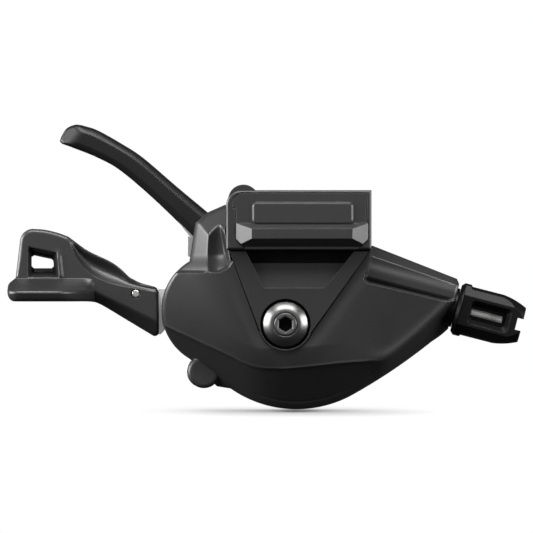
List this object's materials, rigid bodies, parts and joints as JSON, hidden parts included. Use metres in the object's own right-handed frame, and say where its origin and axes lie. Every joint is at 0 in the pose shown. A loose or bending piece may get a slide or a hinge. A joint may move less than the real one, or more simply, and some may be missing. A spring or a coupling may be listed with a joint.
{
  "type": "bicycle trigger gear shifter",
  "caption": "Bracket-mounted trigger gear shifter with a thumb lever, a curved release lever, a faceted housing and a cable adjuster; it winds and releases a gear cable",
  "frame": {"origin": "Mouth of the threaded hole in the bracket nut, on the bracket's back face", "axes": "+X to the cable adjuster, +Y out of the bracket's back face, +Z from the housing up to the bracket"},
  "size_m": [0.121, 0.0344, 0.0666],
  "materials": {
    "moulded_black": "fine satin grain",
    "moulded_grey": "moulded",
    "painted_black": "satin black paint",
    "anodised_black": "black anodised",
    "steel": "stamped and plated",
    "bright_steel": "turned",
    "dark_steel": "blackened",
    "bronze": "sintered bush"
  },
  "bodies": {
    "housing": {"front_cover": "moulded_black", "shield_plate": "painted_black", "dome_washer": "bright_steel", "axle_bolt": "dark_steel", "main_axle": "steel", "axle_nut": "steel", "base_plate": "steel", "rear_cover": "moulded_black", "cover_screws": "dark_steel", "spacer_sleeve": "steel", "pawl_axle": "steel", "release_axle": "steel", "lever_spring": "steel", "drum_spring": "steel", "release_spring": "steel", "mount_bracket": "anodised_black", "bracket_cover": "moulded_black", "bracket_screws": "dark_steel", "guide_tube": "bright_steel"},
    "thumb_lever": {"lever_arm": "steel", "lever_bush": "bronze", "main_lever": "painted_black", "lever_pin": "bright_steel", "drive_pawl_pin": "steel"},
    "driving_pawl": {"drive_pawl": "steel"},
    "releasing_lever": {"release_lever": "moulded_black", "release_arm": "steel", "release_rivets": "steel"},
    "drum": {"cable_drum": "moulded_grey", "ratchet_wheel": "steel", "drum_bush": "bronze"},
    "stop_pawl": {"holding_pawl": "steel"},
    "sliding_nut": {"bracket_nut": "steel"},
    "detent_collar": {"adjuster_collar": "moulded_black"},
    "adjuster": {"adjuster_barrel": "moulded_black"}
  },
  "joints": [
    {"name": "thumb_lever_swing", "type": "hinge", "parent": "housing", "child": "thumb_lever", "pos_m": [-0.0031, -0.01245, -0.0242], "axis": [0, -1, 0], "range_deg": [0, 20], "stiffness_Nm_per_rad": 0.12, "springref_deg": -11.46},
    {"name": "drive_pawl_swing", "type": "hinge", "parent": "thumb_lever", "child": "driving_pawl", "pos_m": [-0.01934, -0.015, -0.02075], "axis": [0, 1, 0], "range_deg": [0, 12], "stiffness_Nm_per_rad": 0.002, "springref_deg": -11.46},
    {"name": "release_lever_swing", "type": "hinge", "parent": "housing", "child": "releasing_lever", "pos_m": [-0.0217, -0.00405, -0.0056], "axis": [0, 1, 0], "range_deg": [-10, 10], "stiffness_Nm_per_rad": 0.08},
    {"name": "drum_turn", "type": "hinge", "parent": "housing", "child": "drum", "pos_m": [-0.0031, -0.0185, -0.0242], "axis": [0, -1, 0], "range_deg": [0, 198], "stiffness_Nm_per_rad": 0.005, "springref_deg": -57.3},
    {"name": "stop_pawl_swing", "type": "hinge", "parent": "housing", "child": "stop_pawl", "pos_m": [-0.01458, -0.015, -0.01099], "axis": [0, 1, 0], "range_deg": [0, 10], "stiffness_Nm_per_rad": 0.002, "springref_deg": -11.46},
    {"name": "nut_slide", "type": "slide", "parent": "housing", "child": "sliding_nut", "axis": [1, 0, 0], "range_m": [-0.005, 0.005]},
    {"name": "adjuster_travel", "type": "slide", "parent": "housing", "child": "detent_collar", "axis": [0.9681, 0, -0.2504], "range_m": [-0.00025, 0.0024]},
    {"name": "adjuster_turn", "type": "hinge", "parent": "detent_collar", "child": "adjuster", "pos_m": [0.0362, -0.0185, -0.02037], "axis": [0.9681, 0, -0.2504], "range_deg": [-112.5, 1080]}
  ],
  "couplings": [
    {"joint": "adjuster_turn", "follows": "adjuster_travel", "rad_per_m": 7854}
  ]
}
